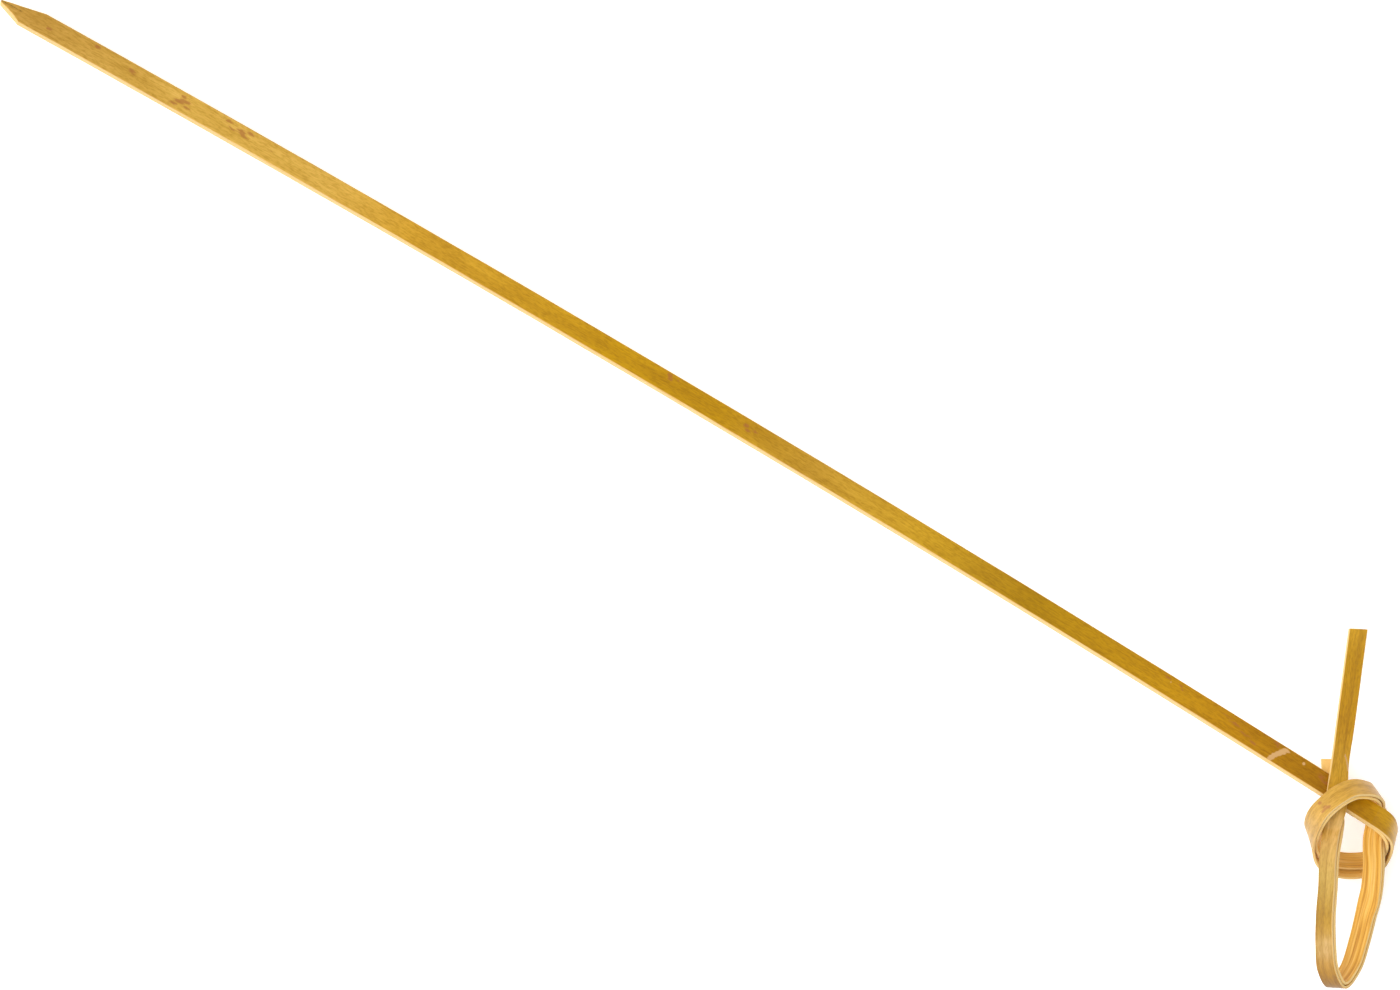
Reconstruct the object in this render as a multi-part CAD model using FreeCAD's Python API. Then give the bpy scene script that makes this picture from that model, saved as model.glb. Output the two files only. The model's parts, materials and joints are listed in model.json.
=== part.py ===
import FreeCAD, Part
import math
import os

from FreeCAD import Matrix, Rotation, Vector

os.makedirs("parts", exist_ok=True)

# A knotted bamboo pick, in millimetres.
#
# It is one flat strip of bamboo. One end is cut to a point. The other end is split through its
# thickness into two thin leaves, the skin leaf and the inner leaf, and the two leaves are tied
# together in one overhand knot with a long loop. Past the knot the leaves part: the skin leaf goes in
# front of the shaft and stands up as the tail, the inner leaf goes behind it and ends as a stub.
#
# The strip is given as its stretches, which meet face to face:
#   shaft        the full strip, from its point to where the knot begins
#   shaft_neck   the full strip inside the knot, past the crossing to the split
#   turn         from the split, round the right side and across the back of the ring
#   wrap         up the left side, over the front of the shaft and round behind it
#   far_strand   from behind the shaft's end down towards the loop's end
#   loop_end     the bend at the bottom of the loop
#   near_strand  up again and through the ring, to the crossing with the shaft
#   tail, stub   the free ends of the skin leaf and of the inner leaf
#
# Knot axes, used for all the modelling: X to the side, Y up (the loop hangs down), Z to the front.
# Their origin is the middle of the ring, at the depth of the shaft's middle plane where the tail
# crosses it. The finished pick is then laid down on a table: see "Lying at rest".

SIDE = Vector(1, 0, 0)
UP = Vector(0, 1, 0)
FRONT = Vector(0, 0, 1)

# ---- The strip -------------------------------------------------------------------------------
STRIP_WIDTH = 2.5
TAIL_WIDTH = 2.35        # at the free ends, which are trimmed narrower
SHAFT_THICKNESS = 1.0
LEAF_THICKNESS = 0.33
LEAF_GAP = 0.12          # between the leaves where they lie together
SPLIT_GAP = 0.04         # between the leaves at the very start of the split
BULGE_GAP = 0.20         # between the leaves across the back of the ring
SLIDE = 1.0              # how far the leaves have slid apart sideways there
PLAY = 0.15              # least distance between strips that cross

# ---- The shaft and its point -----------------------------------------------------------------
SHAFT_LENGTH = 171.8     # from the point to the crossing with the tail
SHAFT_BOW = 1.3          # sideways bow of the shaft, at its middle
SHAFT_SLOPE = 30.6       # degrees that the shaft falls towards the knot
SHAFT_ROLL = 20.0        # degrees that its skin face is rolled up, away from the front
SPLIT_AFTER = 5.1        # from the crossing to the split
NECK_BEFORE = 8.0        # from the shaft's bare stretch to the crossing
LONG_BEVEL = 5.1         # length of the point's bevel on the upper edge
SHORT_BEVEL = 2.8        # length of the point's bevel on the lower edge
POINT_WIDTH = 0.34       # the blunt end of the point

# ---- The ring --------------------------------------------------------------------------------
CROSSING_SIDE = -1.9     # where the tail crosses the shaft
CROSSING_UP = 4.12
RING_HALF_HEIGHT = 4.45  # upright, from the knot's middle to the wrap's and the turn's middle lines
RING_LEAN = 40.0         # degrees that the ring's faces lean back
RING_SLACK = 0.12        # room between the ring and the strands that pass it, beyond the play
TURN_DROP = 0.9          # how far the turn has come back where the far strand passes behind it
TURN_ROOM = 0.50         # from the far strand's back to the front of the turn, as they cross

# ---- The loop --------------------------------------------------------------------------------
LOOP_NECK = 5.3          # sideways distance between the two strands where they pass the ring
LOOP_WIDTH = 7.65        # across the loop, between the middle lines of its strands
LOOP_LENGTH = 17.3       # from the knot's middle down to the middle line of the loop's end
LOOP_TURN = 42.0         # degrees that the strip's face is turned to the side along the loop
LOOP_SHIFT = -0.5        # sideways place of the loop's middle
LOOP_DEPTH = -1.95       # front-to-back place of the loop's middle

# ---- The free ends ---------------------------------------------------------------------------
TAIL_LENGTH = 18.35       # from the crossing to the tail's cut end
TAIL_SWING = 9.0         # degrees that the tail leans to the right
TAIL_LEAN = 12.0         # degrees that it leans back, once it is past the shaft
TAIL_TURN = 26.0         # degrees that its face is turned to the right
STUB_LENGTH = 3.9        # from the crossing to the stub's cut end
PARTING = 1.6            # from the crossing to where a free end leaves the shaft's face
STUB_SWING = 1.5         # degrees that the stub leans to the right

SECTION_STEP = 0.55      # distance between the cross-sections of a bent stretch


def unit(vector):
    """The vector with a length of one."""
    return vector * (1.0 / vector.Length)


def turned(degrees, axis, vector):
    """The vector turned about an axis by the right-hand rule."""
    return Rotation(axis, degrees).multVec(vector)


def square_to(vector, direction):
    """The part of a vector that is square to a direction, with a length of one."""
    return unit(vector - direction * vector.dot(direction))


def spread(across, out, direction, gap=LEAF_GAP):
    """How far a pair of leaves reaches from its middle line in a direction."""
    half_pair = LEAF_THICKNESS + gap / 2
    return abs(across.dot(direction)) * STRIP_WIDTH / 2 + abs(out.dot(direction)) * half_pair


# ---- The shaft's own axes --------------------------------------------------------------------
crossing = Vector(CROSSING_SIDE, CROSSING_UP, 0)
shaft_chord = turned(-SHAFT_SLOPE, FRONT, SIDE)
skin_normal = turned(-SHAFT_ROLL, shaft_chord, FRONT)
shaft_across = skin_normal.cross(shaft_chord)

bow_radius = SHAFT_LENGTH ** 2 / (8 * SHAFT_BOW) + SHAFT_BOW / 2
crossing_angle = math.asin(SHAFT_LENGTH / 2 / bow_radius)
split_angle = crossing_angle + SPLIT_AFTER / bow_radius
neck_angle = crossing_angle - NECK_BEFORE / bow_radius
point_angle = -crossing_angle
long_end = point_angle + LONG_BEVEL / bow_radius
short_end = point_angle + SHORT_BEVEL / bow_radius


def shaft_radial(angle):
    """The direction across the shaft at an angle along its bow, towards its upper edge."""
    return shaft_chord * math.sin(angle) + shaft_across * math.cos(angle)


def on_shaft(angle, offset=0.0, height=0.0):
    """A point of the shaft: along its bow, across from its middle line, above its middle plane."""
    bow_centre = crossing - shaft_radial(crossing_angle) * bow_radius
    return bow_centre + shaft_radial(angle) * (bow_radius + offset) + skin_normal * height


def over_shaft(side, up, height):
    """The point at this side and up that is this high, measured square to the shaft's middle plane."""
    flat = Vector(side, up, 0) - crossing
    return Vector(side, up, (height - flat.dot(skin_normal)) / skin_normal.z)


# ---- Directions of the ring, the loop and the free ends --------------------------------------
ring_out = turned(RING_LEAN, SIDE, UP)
ring_across = ring_out.cross(SIDE)
loop_across = turned(-LOOP_TURN, UP, -SIDE)
loop_far = loop_across.cross(UP)
tail_start = square_to(turned(-TAIL_SWING, FRONT, UP), skin_normal)
stub_start = square_to(turned(-STUB_SWING, FRONT, UP), skin_normal)
tail_later = turned(-TAIL_SWING, FRONT, turned(-TAIL_LEAN, SIDE, UP))
tail_face = turned(TAIL_TURN, UP, FRONT)

# ---- Places that follow from the strips that cross -------------------------------------------
straddle_gap = SHAFT_THICKNESS + 2 * PLAY
half_neck = LOOP_NECK / 2
ring_half_width = half_neck + spread(loop_across, loop_far, SIDE) + PLAY
ring_half_width += LEAF_THICKNESS + LEAF_GAP / 2 + RING_SLACK
wrap_across = unit(Vector(-0.35, 0.66, -0.66))
wrap_height = straddle_gap / 2 + LEAF_THICKNESS + 2 * PLAY + spread(wrap_across, ring_out, skin_normal)
strand_height = -SHAFT_THICKNESS / 2 - PLAY - spread(loop_across, loop_far, skin_normal)
strand_front = over_shaft(half_neck, 0, strand_height).z - TURN_DROP
turn_front = strand_front - TURN_ROOM - spread(loop_across, loop_far, FRONT)
turn_front -= spread(ring_across, ring_out, FRONT, BULGE_GAP)


class Station:
    """A place on the strip's middle line, with its width direction and the leaves there."""

    def __init__(self, point, across, gap=LEAF_GAP, leaf=LEAF_THICKNESS, width=STRIP_WIDTH, slide=0.0):
        self.point = point
        self.across = unit(across)
        self.gap = gap
        self.leaf = leaf
        self.width = width
        self.slide = slide


def on_ring(side_share, up_share, front):
    """A point of the ring, from shares of its half width and half height, and its front place."""
    return Vector(ring_half_width * side_share, RING_HALF_HEIGHT * up_share, front)


def on_loop(far_share, down_share):
    """A point in the loop's own plane, from shares of its half width and its length."""
    middle = Vector(LOOP_SHIFT, -LOOP_LENGTH * down_share, LOOP_DEPTH)
    return middle + loop_far * (LOOP_WIDTH / 2 * far_share)


split_leaf = (SHAFT_THICKNESS - SPLIT_GAP) / 2
near_width = TAIL_WIDTH - 0.15

turn = [
    Station(on_shaft(split_angle), shaft_radial(split_angle), SPLIT_GAP, split_leaf),
    Station(on_ring(0.84, 0.08, -0.30), Vector(0.45, 0.76, -0.45), 0.08, 0.44),
    Station(on_ring(0.99, -0.17, -1.40), Vector(0.34, 0.52, -0.78), 0.22, 0.36),
    Station(on_ring(0.97, -0.52, -3.55), Vector(0.10, 0.60, -0.80), 0.22, slide=0.25 * SLIDE),
    Station(on_ring(0.72, -0.85, turn_front + 0.7), ring_across, BULGE_GAP, slide=0.7 * SLIDE),
    Station(on_ring(0.00, -1.00, turn_front), ring_across, BULGE_GAP, slide=SLIDE),
    Station(on_ring(-0.73, -0.72, turn_front + 1.5), ring_across, BULGE_GAP, slide=0.7 * SLIDE),
]
wrap = [
    Station(on_ring(-0.91, -0.34, -2.6), Vector(-0.10, 0.62, -0.78), slide=0.3 * SLIDE),
    Station(on_ring(-0.98, 0.00, -0.3), Vector(-0.40, 0.48, -0.78)),
    Station(on_ring(-0.77, 0.52, 2.4), Vector(-0.52, 0.50, -0.69)),
    Station(over_shaft(CROSSING_SIDE + 0.15, RING_HALF_HEIGHT * 0.84, wrap_height), wrap_across),
    Station(on_ring(-0.02, 1.00, 1.9), ring_across),
    Station(on_ring(0.45, 0.94, 0.5), Vector(-0.10, 0.45, -0.89)),
    Station(on_ring(0.62, 0.79, -1.2), Vector(-0.40, 0.50, -0.77)),
    Station(on_ring(0.63, 0.53, -2.35), Vector(-0.60, 0.30, -0.72)),
    Station(on_ring(0.66, 0.20, strand_front + 0.1), Vector(-0.72, 0.10, -0.69)),
]
far_strand = [
    Station(Vector(half_neck, -1.2, strand_front), loop_across),
    Station(Vector(half_neck, 0.15 - RING_HALF_HEIGHT, strand_front - 0.1), loop_across),
    Station(Vector(half_neck - 0.15, -RING_HALF_HEIGHT - 2.45, strand_front - 0.6), loop_across),
    Station(on_loop(1.00, 0.55) + FRONT * 0.5, loop_across),
    Station(on_loop(0.65, 0.745), loop_across),
]
loop_end = [
    Station(on_loop(0.22, 0.905), loop_across),
    Station(on_loop(-0.50, 1.000), loop_across),
    Station(on_loop(-0.87, 0.905), loop_across),
]
near_strand = [
    Station(on_loop(-1.00, 0.735), loop_across, width=TAIL_WIDTH),
    Station(on_loop(-1.00, 0.570), loop_across, width=near_width + 0.05),
    Station(Vector(-half_neck - 0.18, -6.2, 1.1), loop_across, width=near_width),
    Station(Vector(-half_neck - 0.05, -3.2, 1.1), loop_across, 0.2, width=near_width),
    Station(Vector(-half_neck + 0.4, -0.25, 0.6), Vector(-0.77, 0.05, -0.57), 0.3, width=near_width),
    Station(crossing - tail_start * 2.1, skin_normal.cross(tail_start), straddle_gap, width=TAIL_WIDTH),
]


def free_station(leaf_centre, along, out, leaf_side):
    """A station of a free end whose one leaf is centred here, with its face square to out."""
    across = out.cross(along)
    square_out = along.cross(unit(across))
    point = leaf_centre - square_out * (leaf_side * (straddle_gap + LEAF_THICKNESS) / 2)
    return Station(point, across, straddle_gap, width=TAIL_WIDTH)


def free_end(start, later, length, last_out, leaf_side, shares):
    """The stations of a free end from the crossing on, the first of them flat beside the shaft."""
    root = crossing + skin_normal * (leaf_side * (straddle_gap + LEAF_THICKNESS) / 2)
    bend = root + start * PARTING
    last = bend + later * (length - PARTING)
    stations = [free_station(root, start, skin_normal, leaf_side)]
    for share in shares:
        stations.append(free_station(bend + (last - bend) * share, later, last_out, leaf_side))
    return stations


tail = free_end(tail_start, tail_later, TAIL_LENGTH, tail_face, 1, (0.03, 0.35, 0.7, 1.0))
stub = free_end(stub_start, stub_start, STUB_LENGTH, skin_normal, -1, (0.1, 1.0))

tied = turn + wrap + far_strand + loop_end + near_strand


def slopes(marks, values, first=None):
    """The rate of change of the values at each mark, from the marks on either side of it."""
    steps = [
        (values[i + 1] - values[i]) * (1.0 / (marks[i + 1] - marks[i]))
        for i in range(len(marks) - 1)
    ]
    middle = []
    for i in range(1, len(steps)):
        before, after = marks[i] - marks[i - 1], marks[i + 1] - marks[i]
        middle.append((steps[i - 1] * after + steps[i] * before) * (1.0 / (before + after)))
    return [first or steps[0]] + middle + [steps[-1]]


class Route:
    """A smooth line through stations, with the strip's width direction and its leaves along it."""

    def __init__(self, stations):
        self.stations = stations
        self.points = [station.point for station in stations]
        self.acrosses = [station.across for station in stations]
        self.marks = [0.0]
        for before, after in zip(self.points, self.points[1:]):
            self.marks.append(self.marks[-1] + (after - before).Length)
        self.point_slopes = slopes(self.marks, self.points, stations[0].across.cross(skin_normal))
        self.across_slopes = slopes(self.marks, self.acrosses)

    def span(self, mark):
        """The station before a mark, the span's length and the share of it that lies behind the mark."""
        index = max(i for i in range(len(self.marks) - 1) if self.marks[i] <= mark + 1e-9)
        length = self.marks[index + 1] - self.marks[index]
        return index, length, (mark - self.marks[index]) / length

    def curve(self, values, rates, mark):
        """The value at a mark on the cubic that runs from one station to the next."""
        i, length, t = self.span(mark)
        from_values = values[i] * (2 * t ** 3 - 3 * t ** 2 + 1) + values[i + 1] * (3 * t ** 2 - 2 * t ** 3)
        from_rates = rates[i] * (t ** 3 - 2 * t ** 2 + t) + rates[i + 1] * (t ** 3 - t ** 2)
        return from_values + from_rates * length

    def direction(self, mark):
        """The direction of the line at a mark."""
        i, length, t = self.span(mark)
        chord = (self.points[i + 1] - self.points[i]) * (6 * (t - t ** 2) / length)
        rates = self.point_slopes
        return unit(chord + rates[i] * (3 * t ** 2 - 4 * t + 1) + rates[i + 1] * (3 * t ** 2 - 2 * t))

    def strip_at(self, mark):
        """The leaf gap, leaf thickness, width and slide at a mark, eased from station to station."""
        index, _, share = self.span(mark)
        ease = share * share * (3 - 2 * share)
        before, after = self.stations[index], self.stations[index + 1]
        gap = before.gap + (after.gap - before.gap) * ease
        leaf = before.leaf + (after.leaf - before.leaf) * ease
        width = before.width + (after.width - before.width) * ease
        slide = before.slide + (after.slide - before.slide) * ease
        return gap, leaf, width, slide

    def section(self, mark, leaf_side):
        """The corners of one leaf's section: leaf_side is 1 for the skin leaf, -1 for the inner one."""
        centre = self.curve(self.points, self.point_slopes, mark)
        along = self.direction(mark)
        across = square_to(self.curve(self.acrosses, self.across_slopes, mark), along)
        out = along.cross(across)
        gap, leaf, width, slide = self.strip_at(mark)
        centre -= across * (leaf_side * slide / 2)
        near = out * (leaf_side * gap / 2)
        far = out * (leaf_side * (gap / 2 + leaf))
        half = across * (width / 2)
        return [centre - half + near, centre + half + near, centre + half + far, centre - half + far]

    def leaf(self, first, last, leaf_side):
        """The solid of one leaf between two stations, and its corner points."""
        start, end = self.marks[first], self.marks[last]
        count = max(4, round((end - start) / SECTION_STEP))
        marks = [start + (end - start) * i / count for i in range(count + 1)]
        outlines = [self.section(mark, leaf_side) for mark in marks]
        wires = [Part.makePolygon(corners + corners[:1]) for corners in outlines]
        corners = [corner for outline in outlines for corner in outline]
        return Part.makeLoft(wires, True, False), corners


def on_back(angle, offset):
    """A point on the back face of the full strip."""
    return on_shaft(angle, offset, -SHAFT_THICKNESS / 2)


def back_line(start, end):
    """A straight line on the back face between two (angle, offset) places."""
    return Part.makeLine(on_back(*start), on_back(*end))


def back_arc(first, last, offset):
    """A line on the back face that keeps its offset and follows the bow between two angles."""
    middle = on_back((first + last) / 2, offset)
    return Part.Arc(on_back(first, offset), middle, on_back(last, offset)).toShape()


def full_strip(outline):
    """The solid of full thickness over an outline on the back face."""
    return Part.Face(Part.Wire(outline)).extrude(skin_normal * SHAFT_THICKNESS)


def make_shaft():
    """The full strip outside the knot, bowed in its own plane, with its cut point."""
    edge = STRIP_WIDTH / 2
    blunt = POINT_WIDTH / 2
    return full_strip([
        back_line((point_angle, blunt), (long_end, edge)),
        back_arc(long_end, neck_angle, edge),
        back_line((neck_angle, edge), (neck_angle, -edge)),
        back_arc(neck_angle, short_end, -edge),
        back_line((short_end, -edge), (point_angle, -blunt)),
        back_line((point_angle, -blunt), (point_angle, blunt)),
    ])


def make_neck():
    """The full strip inside the knot, up to the flat end at the split."""
    edge = STRIP_WIDTH / 2
    return full_strip([
        back_arc(neck_angle, split_angle, edge),
        back_line((split_angle, edge), (split_angle, -edge)),
        back_arc(split_angle, neck_angle, -edge),
        back_line((neck_angle, -edge), (neck_angle, edge)),
    ])


# ---- Build the stretches ---------------------------------------------------------------------
skin_route = Route(tied + tail)
inner_route = Route(tied + stub)

wrap_from = len(turn)
far_from = wrap_from + len(wrap)
end_from = far_from + len(far_strand)
near_from = end_from + len(loop_end)
free_from = len(tied)

stretches = [
    ("turn", 0, wrap_from),
    ("wrap", wrap_from, far_from),
    ("far_strand", far_from, end_from),
    ("loop_end", end_from, near_from),
    ("near_strand", near_from, free_from),
]

solids = {"shaft": make_shaft(), "shaft_neck": make_neck()}
resting_corners = []
for leaf_name, route, leaf_side in (("skin", skin_route, 1), ("inner", inner_route, -1)):
    for stretch_name, first, last in stretches:
        solid, corners = route.leaf(first, last, leaf_side)
        solids[leaf_name + "_" + stretch_name] = solid
        resting_corners += corners
solids["skin_tail"], tail_corners = skin_route.leaf(free_from, len(skin_route.marks) - 1, 1)
solids["inner_stub"], stub_corners = inner_route.leaf(free_from, len(inner_route.marks) - 1, -1)


# ---- Lying at rest ---------------------------------------------------------------------------
# On a table the pick lies on three places: the shaft beside its point, the lowest place of the knot,
# and the tail's end. The plane through them becomes the floor. +X runs along the shaft to the knot.

def lowest(corners, upright):
    """The corner that is furthest down."""
    return min(corners, key=upright.dot)


point_places = [
    (point_angle, -POINT_WIDTH / 2),
    (point_angle, POINT_WIDTH / 2),
    (long_end, STRIP_WIDTH / 2),
    (short_end, -STRIP_WIDTH / 2),
]
point_corners = [
    on_shaft(angle, offset, height)
    for angle, offset in point_places
    for height in (-SHAFT_THICKNESS / 2, SHAFT_THICKNESS / 2)
]

upright = FRONT
for _ in range(12):
    feet = [lowest(group, upright) for group in (point_corners, resting_corners, tail_corners)]
    upright = unit((feet[1] - feet[0]).cross(feet[2] - feet[0]))

along = square_to(crossing - on_shaft(point_angle), upright)
sideways = upright.cross(along)
lay_down = Matrix(
    along.x, along.y, along.z, 0,
    sideways.x, sideways.y, sideways.z, 0,
    upright.x, upright.y, upright.z, 0,
    0, 0, 0, 1,
)
for name in solids:
    solids[name] = solids[name].transformed(lay_down)

box = Part.makeCompound(list(solids.values())).optimalBoundingBox(False, False)
to_origin = Vector(-(box.XMin + box.XMax) / 2, -(box.YMin + box.YMax) / 2, -box.ZMin)

for name, solid in solids.items():
    solid.translate(to_origin)
    solid.exportStep(os.path.join("parts", name + ".step"))
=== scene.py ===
import json
import math
from collections import namedtuple

import bmesh
import bpy
from mathutils import Matrix, Vector, noise


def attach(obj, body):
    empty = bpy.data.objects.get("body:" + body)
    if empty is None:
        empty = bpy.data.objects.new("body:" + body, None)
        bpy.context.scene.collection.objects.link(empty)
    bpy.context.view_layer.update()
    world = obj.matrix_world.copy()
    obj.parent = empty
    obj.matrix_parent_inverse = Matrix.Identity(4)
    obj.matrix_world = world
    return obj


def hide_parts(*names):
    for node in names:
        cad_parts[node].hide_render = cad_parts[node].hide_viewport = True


# A knotted bamboo pick. Its strip is swept again here, on the same route as in the CAD model, with
# rounded edges, fibres, scars and rough cut ends. The shape is worked out in millimetres and in the
# knot's own axes (X to the side, Y up, Z to the front), and then placed by the record's mounts.

MM = 0.001
SIDE = Vector((1, 0, 0))
UP = Vector((0, 1, 0))
FRONT = Vector((0, 0, 1))

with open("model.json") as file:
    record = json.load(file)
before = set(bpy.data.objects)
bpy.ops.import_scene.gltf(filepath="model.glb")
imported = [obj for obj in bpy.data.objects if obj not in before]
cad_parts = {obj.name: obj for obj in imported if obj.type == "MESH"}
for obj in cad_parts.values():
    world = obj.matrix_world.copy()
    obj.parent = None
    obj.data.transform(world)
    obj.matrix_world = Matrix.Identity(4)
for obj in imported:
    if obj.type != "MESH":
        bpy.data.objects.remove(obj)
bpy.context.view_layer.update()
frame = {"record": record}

# ---- Sizes, in millimetres and degrees: the same as the CAD model's ----------------------------
STRIP_WIDTH = 2.5
TAIL_WIDTH = 2.35
SHAFT_THICKNESS = 1.0
LEAF_THICKNESS = 0.33
LEAF_GAP = 0.12
SPLIT_GAP = 0.04
BULGE_GAP = 0.20
SLIDE = 1.0
PLAY = 0.15

SHAFT_LENGTH = 171.8
SHAFT_BOW = 1.3
SHAFT_SLOPE = 30.6
SHAFT_ROLL = 20.0
SPLIT_AFTER = 5.1
LONG_BEVEL = 5.1
SHORT_BEVEL = 2.8
POINT_WIDTH = 0.34

CROSSING_SIDE = -1.9
CROSSING_UP = 4.12
RING_HALF_HEIGHT = 4.45
RING_LEAN = 40.0
RING_SLACK = 0.12
TURN_DROP = 0.9
TURN_ROOM = 0.50

LOOP_NECK = 5.3
LOOP_WIDTH = 7.65
LOOP_LENGTH = 17.3
LOOP_TURN = 42.0
LOOP_SHIFT = -0.5
LOOP_DEPTH = -1.95

TAIL_LENGTH = 18.35
TAIL_SWING = 9.0
TAIL_LEAN = 12.0
TAIL_TURN = 26.0
STUB_LENGTH = 3.9
PARTING = 1.6
STUB_SWING = 1.5


def turned(degrees, axis, vector):
    """The vector turned about an axis by the right-hand rule."""
    return Matrix.Rotation(math.radians(degrees), 3, axis) @ vector


def square_to(vector, direction):
    """The part of a vector that is square to a direction, with a length of one."""
    return (vector - direction * vector.dot(direction)).normalized()


def spread(across, out, direction, gap=LEAF_GAP):
    """How far a pair of leaves reaches from its middle line in a direction."""
    half_pair = LEAF_THICKNESS + gap / 2
    return abs(across.dot(direction)) * STRIP_WIDTH / 2 + abs(out.dot(direction)) * half_pair


# ---- The shaft's own axes ----------------------------------------------------------------------
crossing = Vector((CROSSING_SIDE, CROSSING_UP, 0))
shaft_chord = turned(-SHAFT_SLOPE, FRONT, SIDE)
skin_normal = turned(-SHAFT_ROLL, shaft_chord, FRONT)
shaft_across = skin_normal.cross(shaft_chord)

bow_radius = SHAFT_LENGTH ** 2 / (8 * SHAFT_BOW) + SHAFT_BOW / 2
crossing_angle = math.asin(SHAFT_LENGTH / 2 / bow_radius)
split_angle = crossing_angle + SPLIT_AFTER / bow_radius
point_angle = -crossing_angle


def shaft_radial(angle):
    """The direction across the shaft at an angle along its bow, towards its upper edge."""
    return shaft_chord * math.sin(angle) + shaft_across * math.cos(angle)


def on_shaft(angle, offset=0.0, height=0.0):
    """A point of the shaft: along its bow, across from its middle line, above its middle plane."""
    bow_centre = crossing - shaft_radial(crossing_angle) * bow_radius
    return bow_centre + shaft_radial(angle) * (bow_radius + offset) + skin_normal * height


def over_shaft(side, up, height):
    """The point at this side and up that is this high, measured square to the shaft's middle plane."""
    flat = Vector((side, up, 0)) - crossing
    return Vector((side, up, (height - flat.dot(skin_normal)) / skin_normal.z))


# ---- Directions and places, as in the CAD model ------------------------------------------------
ring_out = turned(RING_LEAN, SIDE, UP)
ring_across = ring_out.cross(SIDE)
loop_across = turned(-LOOP_TURN, UP, -SIDE)
loop_far = loop_across.cross(UP)
tail_start = square_to(turned(-TAIL_SWING, FRONT, UP), skin_normal)
stub_start = square_to(turned(-STUB_SWING, FRONT, UP), skin_normal)
tail_later = turned(-TAIL_SWING, FRONT, turned(-TAIL_LEAN, SIDE, UP))
tail_face = turned(TAIL_TURN, UP, FRONT)

straddle_gap = SHAFT_THICKNESS + 2 * PLAY
half_neck = LOOP_NECK / 2
ring_half_width = half_neck + spread(loop_across, loop_far, SIDE) + PLAY
ring_half_width += LEAF_THICKNESS + LEAF_GAP / 2 + RING_SLACK
wrap_across = Vector((-0.35, 0.66, -0.66)).normalized()
wrap_height = straddle_gap / 2 + LEAF_THICKNESS + 2 * PLAY + spread(wrap_across, ring_out, skin_normal)
strand_height = -SHAFT_THICKNESS / 2 - PLAY - spread(loop_across, loop_far, skin_normal)
strand_front = over_shaft(half_neck, 0, strand_height).z - TURN_DROP
turn_front = strand_front - TURN_ROOM - spread(loop_across, loop_far, FRONT)
turn_front -= spread(ring_across, ring_out, FRONT, BULGE_GAP)


class Station:
    """A place on the strip's middle line, with its width direction and the leaves there."""

    def __init__(self, point, across, gap=LEAF_GAP, leaf=LEAF_THICKNESS, width=STRIP_WIDTH, slide=0.0):
        self.point = point
        self.across = Vector(across).normalized()
        self.gap = gap
        self.leaf = leaf
        self.width = width
        self.slide = slide


def on_ring(side_share, up_share, front):
    """A point of the ring, from shares of its half width and half height, and its front place."""
    return Vector((ring_half_width * side_share, RING_HALF_HEIGHT * up_share, front))


def on_loop(far_share, down_share):
    """A point in the loop's own plane, from shares of its half width and its length."""
    middle = Vector((LOOP_SHIFT, -LOOP_LENGTH * down_share, LOOP_DEPTH))
    return middle + loop_far * (LOOP_WIDTH / 2 * far_share)


split_leaf = (SHAFT_THICKNESS - SPLIT_GAP) / 2
# the strip is at its narrowest along the near strand
near_width = TAIL_WIDTH - 0.15

turn = [
    Station(on_shaft(split_angle), shaft_radial(split_angle), SPLIT_GAP, split_leaf),
    Station(on_ring(0.84, 0.08, -0.30), (0.45, 0.76, -0.45), 0.08, 0.44),
    Station(on_ring(0.99, -0.17, -1.40), (0.34, 0.52, -0.78), 0.22, 0.36),
    Station(on_ring(0.97, -0.52, -3.55), (0.10, 0.60, -0.80), 0.22, slide=0.25 * SLIDE),
    Station(on_ring(0.72, -0.85, turn_front + 0.7), ring_across, BULGE_GAP, slide=0.7 * SLIDE),
    Station(on_ring(0.00, -1.00, turn_front), ring_across, BULGE_GAP, slide=SLIDE),
    Station(on_ring(-0.73, -0.72, turn_front + 1.5), ring_across, BULGE_GAP, slide=0.7 * SLIDE),
]
wrap = [
    Station(on_ring(-0.91, -0.34, -2.6), (-0.10, 0.62, -0.78), slide=0.3 * SLIDE),
    Station(on_ring(-0.98, 0.00, -0.3), (-0.40, 0.48, -0.78)),
    Station(on_ring(-0.77, 0.52, 2.4), (-0.52, 0.50, -0.69)),
    Station(over_shaft(CROSSING_SIDE + 0.15, RING_HALF_HEIGHT * 0.84, wrap_height), wrap_across),
    Station(on_ring(-0.02, 1.00, 1.9), ring_across),
    Station(on_ring(0.45, 0.94, 0.5), (-0.10, 0.45, -0.89)),
    Station(on_ring(0.62, 0.79, -1.2), (-0.40, 0.50, -0.77)),
    Station(on_ring(0.63, 0.53, -2.35), (-0.60, 0.30, -0.72)),
    Station(on_ring(0.66, 0.20, strand_front + 0.1), (-0.72, 0.10, -0.69)),
]
far_strand = [
    Station(Vector((half_neck, -1.2, strand_front)), loop_across),
    Station(Vector((half_neck, 0.15 - RING_HALF_HEIGHT, strand_front - 0.1)), loop_across),
    Station(Vector((half_neck - 0.15, -RING_HALF_HEIGHT - 2.45, strand_front - 0.6)), loop_across),
    Station(on_loop(1.00, 0.55) + FRONT * 0.5, loop_across),
    Station(on_loop(0.65, 0.745), loop_across),
]
loop_end = [
    Station(on_loop(0.22, 0.905), loop_across),
    Station(on_loop(-0.50, 1.000), loop_across),
    Station(on_loop(-0.87, 0.905), loop_across),
]
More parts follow.
